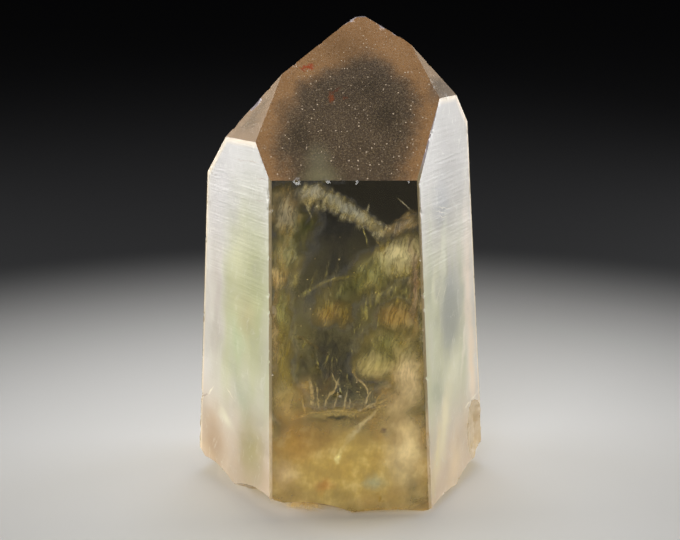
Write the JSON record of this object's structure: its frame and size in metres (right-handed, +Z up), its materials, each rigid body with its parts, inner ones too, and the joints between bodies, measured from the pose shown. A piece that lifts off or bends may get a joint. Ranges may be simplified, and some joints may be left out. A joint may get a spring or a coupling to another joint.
{
  "type": "citrine quartz crystal",
  "caption": "Single citrine quartz point: tapering six-sided prism, smoky speckled tip, milky inside, standing on its broken foot.",
  "frame": {"origin": "middle of the crystal's outline at the flat foot that it stands on", "axes": "+Z up along the crystal's length, -Y towards the broad front prism face, +X to its right as seen from the front"},
  "size_m": [0.0358, 0.0268, 0.0562],
  "materials": {
    "citrine": "clear smoky citrine, pale olive to golden, satin side faces, finely pitted point, cloudy foot"
  },
  "bodies": {
    "root": {"crystal": "citrine"}
  },
  "joints": []
}
